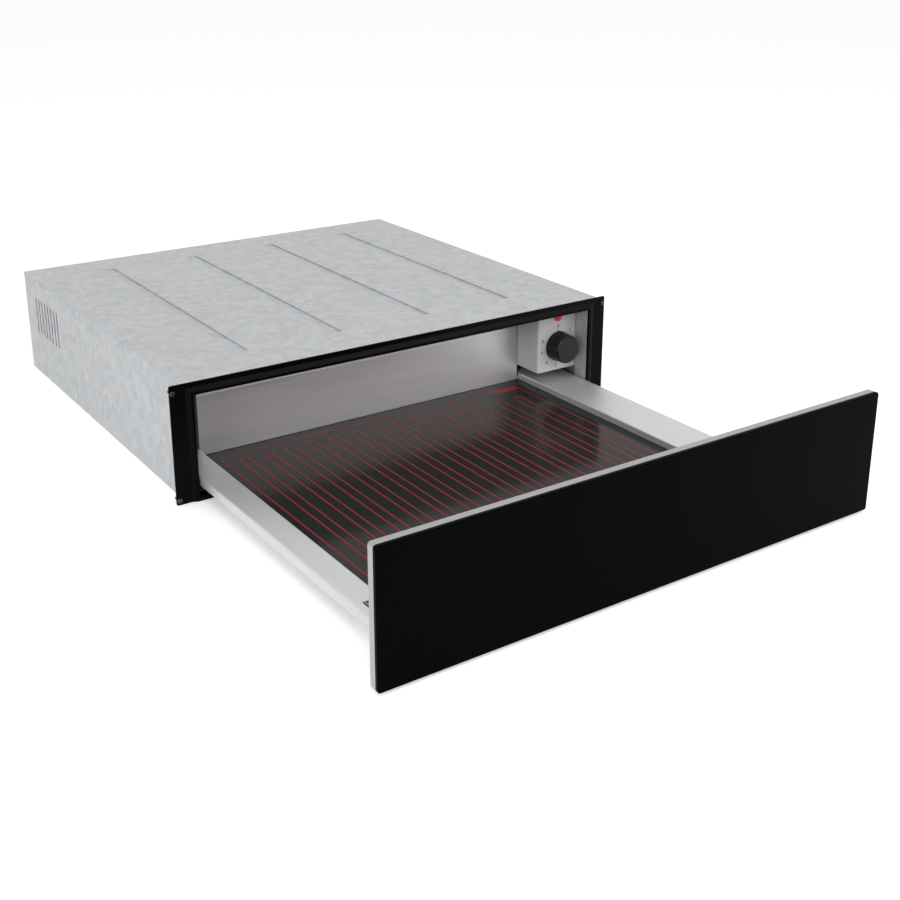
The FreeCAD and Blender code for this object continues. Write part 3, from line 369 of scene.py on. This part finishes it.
def pan_head(radius, height, recess):
    """Screw head that looks along -Y from its seat at Y = 0, with a cross recess."""
    head = rod(-height / 2, radius, height)
    bevel_faces(head, looks_outwards, radius * HEAD_ROUNDING, 4)
    length = recess * RECESS_LENGTH
    width = recess * RECESS_WIDTH
    for size in ((length, recess, width), (width, recess, length)):
        cut(head, box_piece((0, -height, 0), size))
    return head


def thread(root, crest, pitch, turns, tip):
    """Screw shank from the seat along +Y, with ridges and a tip of that many half turns."""
    shank = rod(pitch / 4, root, pitch / 2, vertices=20)
    select_faces(shank, lambda normal: normal.y > FACES_ALONG)
    radius = root
    for step in range(turns * 2):
        taper = min(1.0, (turns * 2 - step) / tip)
        wanted = (crest if step % 2 == 0 else root) * taper
        bpy.ops.mesh.extrude_region_move(
            TRANSFORM_OT_translate={"value": (0, pitch / 2 * MM, 0)})
        scale = wanted / radius
        bpy.ops.transform.resize(value=(scale, 1, scale), center_override=(0, 0, 0))
        radius = wanted
    bpy.ops.object.mode_set(mode="OBJECT")
    return shank


def turned(degrees, axis):
    """Turn about an axis through the origin."""
    return Matrix.Rotation(math.radians(degrees), 4, axis)


def placed(x, y, z, turn=Matrix.Identity(4)):
    """Turn about the origin, then a shift to a place in millimetres."""
    return Matrix.Translation((x * MM, y * MM, z * MM)) @ turn


def copies(pattern, places):
    """Copies of a pattern, each with its own mesh, joined to one piece."""
    made = []
    for place in places:
        copy = pattern.copy()
        copy.data = pattern.data.copy()
        bpy.context.collection.objects.link(copy)
        copy.data.transform(place)
        made.append(copy)
    bpy.data.objects.remove(pattern)
    return join(made)


def make_frame_screws():
    """Wood screws in the frame's corners: pan head, thread and point."""
    screw = join([pan_head(radius=2.9, height=1.5, recess=1.5),
                  thread(root=1.4, crest=1.9, pitch=1.2, turns=9, tip=5)])
    places = [placed(x, FRAME_FACE, z) for x in FIXING_X for z in FIXING_Z]
    settle(copies(screw, places), "frame_screws", black_zinc, "housing")


def make_rear_screws():
    """Screws along the edges of the back panel."""
    turn = turned(180, "Z")
    places = [placed(x, HOUSING_REAR, z, turn) for x in REAR_EDGE_X for z in REAR_EDGE_Z]
    places += [placed(x, HOUSING_REAR, REAR_FOOT_Z, turn) for x in REAR_FOOT_X]
    screws = copies(pan_head(radius=3.6, height=2.0, recess=1.9), places)
    settle(screws, "back_panel_screws", zinc_plate, "housing")


def make_adjusting_screws():
    """Screws that clamp the front's brackets, seen through the slots in the channels."""
    screw = join([pan_head(radius=3.5, height=2.2, recess=1.8),
                  thread(root=1.6, crest=2.0, pitch=0.7, turns=1, tip=1)])
    turn = turned(-90, "X")
    places = [placed(x, BRACKET_SCREW_Y, BRACKET_TOP, turn) for x in BRACKET_SCREW_X]
    screws = copies(screw, places)
    settle(screws, "front_adjusting_screws", zinc_plate, "drawer")


def make_latch_screws():
    """Screws through the latch's foot into the base plate."""
    turn = turned(-90, "X")
    places = [placed(x, LATCH_SCREW_Y, LATCH_FOOT_TOP, turn) for x in LATCH_SCREW_X]
    screws = copies(pan_head(radius=3.2, height=1.9, recess=1.7), places)
    settle(screws, "latch_screws", zinc_plate, "housing")


def make_wall_rivets():
    """Blind rivets that join the side walls to the base and the cover."""
    for side, name in ((-1, "left"), (1, "right")):
        rivet = rod(-RIVET_HEIGHT / 2, RIVET_RADIUS, RIVET_HEIGHT)
        bevel_faces(rivet, looks_outwards, RIVET_ROUNDING, 3)
        cut(rivet, rod(0, MANDREL_RADIUS, MANDREL_LENGTH))
        turn = turned(90 * side, "Z")
        places = [placed(HOUSING_SIDE * side, y, z, turn) for y in RIVET_Y for z in RIVET_Z]
        rivets = copies(rivet, places)
        settle(rivets, "wall_rivets_" + name, zinc_plate, "housing")


def dial_place(angle, radius):
    """Place on the control box's front at an angle clockwise from the top."""
    turn = math.radians(angle)
    return KNOB_X + radius * math.sin(turn), KNOB_Z + radius * math.cos(turn)


def make_dial_numbers():
    """Plain numbers printed round the knob."""
    numbers = []
    for number, angle in enumerate(DIAL_ANGLES):
        x, z = dial_place(angle, NUMBER_RADIUS)
        bpy.ops.object.text_add(location=(x * MM, (BOX_FRONT - NUMBER_SINK) * MM, z * MM),
                                rotation=(math.pi / 2, 0, 0))
        text = bpy.context.object
        text.data.body = str(number)
        text.data.size = NUMBER_SIZE * MM
        text.data.extrude = NUMBER_DEPTH * MM
        text.data.offset = NUMBER_WEIGHT * MM
        text.data.resolution_u = NUMBER_STEPS
        text.data.align_x = "CENTER"
        text.data.align_y = "CENTER"
        bpy.ops.object.convert(target="MESH")
        numbers.append(bpy.context.object)
    settle(join(numbers), "dial_numbers", dial_ink, "housing")


def make_dial_ticks():
    """Short round-ended marks between the knob and the numbers."""
    tick = rod(0, TICK_HALF_WIDTH, TICK_DEPTH, vertices=16)
    bpy.ops.object.mode_set(mode="EDIT")
    bpy.ops.mesh.select_mode(type="VERT")
    mesh = bmesh.from_edit_mesh(tick.data)
    for vertex in mesh.verts:
        vertex.select_set(vertex.co.z > TICK_MIDDLE * MM)
    bmesh.update_edit_mesh(tick.data)
    bpy.ops.transform.translate(value=(0, 0, TICK_LENGTH * MM))
    bpy.ops.mesh.select_mode(type="FACE")
    bpy.ops.object.mode_set(mode="OBJECT")
    places = []
    for angle in DIAL_ANGLES:
        x, z = dial_place(angle, TICK_RADIUS)
        places.append(placed(x, BOX_FRONT - TICK_SINK, z, turned(angle, "Y")))
    settle(copies(tick, places), "dial_ticks", dial_ink, "housing")


def make_plate_bead():
    """Silicone bead that seals the hot plate's edges to the channels and the walls; its black
    also paints the shade in the gaps there.
    """
    low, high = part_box("hot_plate")
    x, y, top = (low.x + high.x) / 2 / MM, (low.y + high.y) / 2 / MM, high.z / MM
    width, length = (high.x - low.x) / MM, (high.y - low.y) / MM
    bead = box_piece((x, y, top + BEAD_RISE / 2), (width, length, BEAD_RISE))
    bevel_faces(bead, lambda normal: normal.z > FACES_ALONG, BEAD_ROUNDING, 2)
    window = (width - 2 * BEAD_WIDTH, length - 2 * BEAD_WIDTH, WINDOW_DEPTH)
    cut(bead, box_piece((x, y, top), window))
    settle(bead, "plate_bead_painted_shade", bead_shade_silicone, "drawer")


def seen_rays(tree):
    """1 for the rays that show the backdrop: to the camera, in gloss and through glass."""
    path = node(tree, "ShaderNodeLightPath")
    seen = path.outputs["Is Camera Ray"]
    for ray in ("Is Glossy Ray", "Is Transmission Ray"):
        total = node(tree, "ShaderNodeMath", {0: seen, 1: path.outputs[ray]},
                     operation="ADD", use_clamp=True)
        seen = total.outputs["Value"]
    return seen


def make_floor():
    """Pale paper under the part, which glows a little where it is seen."""
    bpy.ops.mesh.primitive_plane_add(size=FLOOR_SIZE, location=(0, 0, -FLOOR_DROP))
    floor = bpy.context.object
    floor.name = "studio_floor"
    # Matt white studio paper.
    paper = surface("studio_paper", "#f2f2f2", "#efefef", rough=(0.8, 0.9), scale=3, bump=0.0,
                    Emission_Color=WHITE)
    tree = paper.node_tree
    glow = node(tree, "ShaderNodeMath", {0: seen_rays(tree), 1: FLOOR_GLOW},
                operation="MULTIPLY")
    shader = tree.nodes["Principled BSDF"]
    tree.links.new(glow.outputs["Value"], shader.inputs["Emission Strength"])
    floor.data.materials.append(paper)


def make_world():
    """White backdrop that lights the part a little less than it shows."""
    world = bpy.data.worlds.new("studio")
    bpy.context.scene.world = world
    world.use_nodes = True
    tree = world.node_tree
    background = tree.nodes["Background"]
    background.inputs["Color"].default_value = WHITE
    strength = node(tree, "ShaderNodeMapRange",
                    {"Value": seen_rays(tree), "To Min": BACKDROP_LIGHT, "To Max": BACKDROP_SEEN})
    tree.links.new(strength.outputs["Result"], background.inputs["Strength"])


def area_light(name, location, target, size, power):
    """A rectangular lamp that looks at its target."""
    bpy.ops.object.light_add(type="AREA", location=location)
    lamp = bpy.context.object
    lamp.name = name
    lamp.data.shape = "RECTANGLE"
    lamp.data.size, lamp.data.size_y = size
    lamp.data.energy = power
    direction = Vector(target) - lamp.location
    lamp.rotation_euler = direction.to_track_quat("-Z", "Y").to_euler()


def make_camera():
    """The photograph's camera, from its vanishing lines: a tilt with a small shift."""
    data = bpy.data.cameras.new("camera")
    camera = bpy.data.objects.new("camera", data)
    bpy.context.scene.collection.objects.link(camera)
    data.lens = 51.1
    data.sensor_width = 36
    data.shift_y = -0.12
    camera.location = (-0.7414, -1.1718, 0.5914)
    camera.rotation_euler = (math.radians(90 - 18.51), 0, math.radians(-34.23))
    bpy.context.scene.camera = camera


make_frame_screws()
make_rear_screws()
make_adjusting_screws()
make_latch_screws()
make_wall_rivets()
make_dial_numbers()
make_dial_ticks()
make_plate_bead()
make_floor()
make_world()
area_light("key", location=(-0.9, -1.6, 2.3), target=(0, -0.1, 0), size=(1.6, 1.6), power=22)
area_light("fill", location=(1.3, -1.9, 1.1), target=(0.05, 0, 0.06), size=(1.2, 1.2), power=16)
area_light("side", location=(-1.9, -1.3, 0.7), target=(0.2, -0.05, 0.08), size=(1.0, 0.8),
           power=18)
make_camera()
bpy.context.scene.view_settings.view_transform = "Standard"
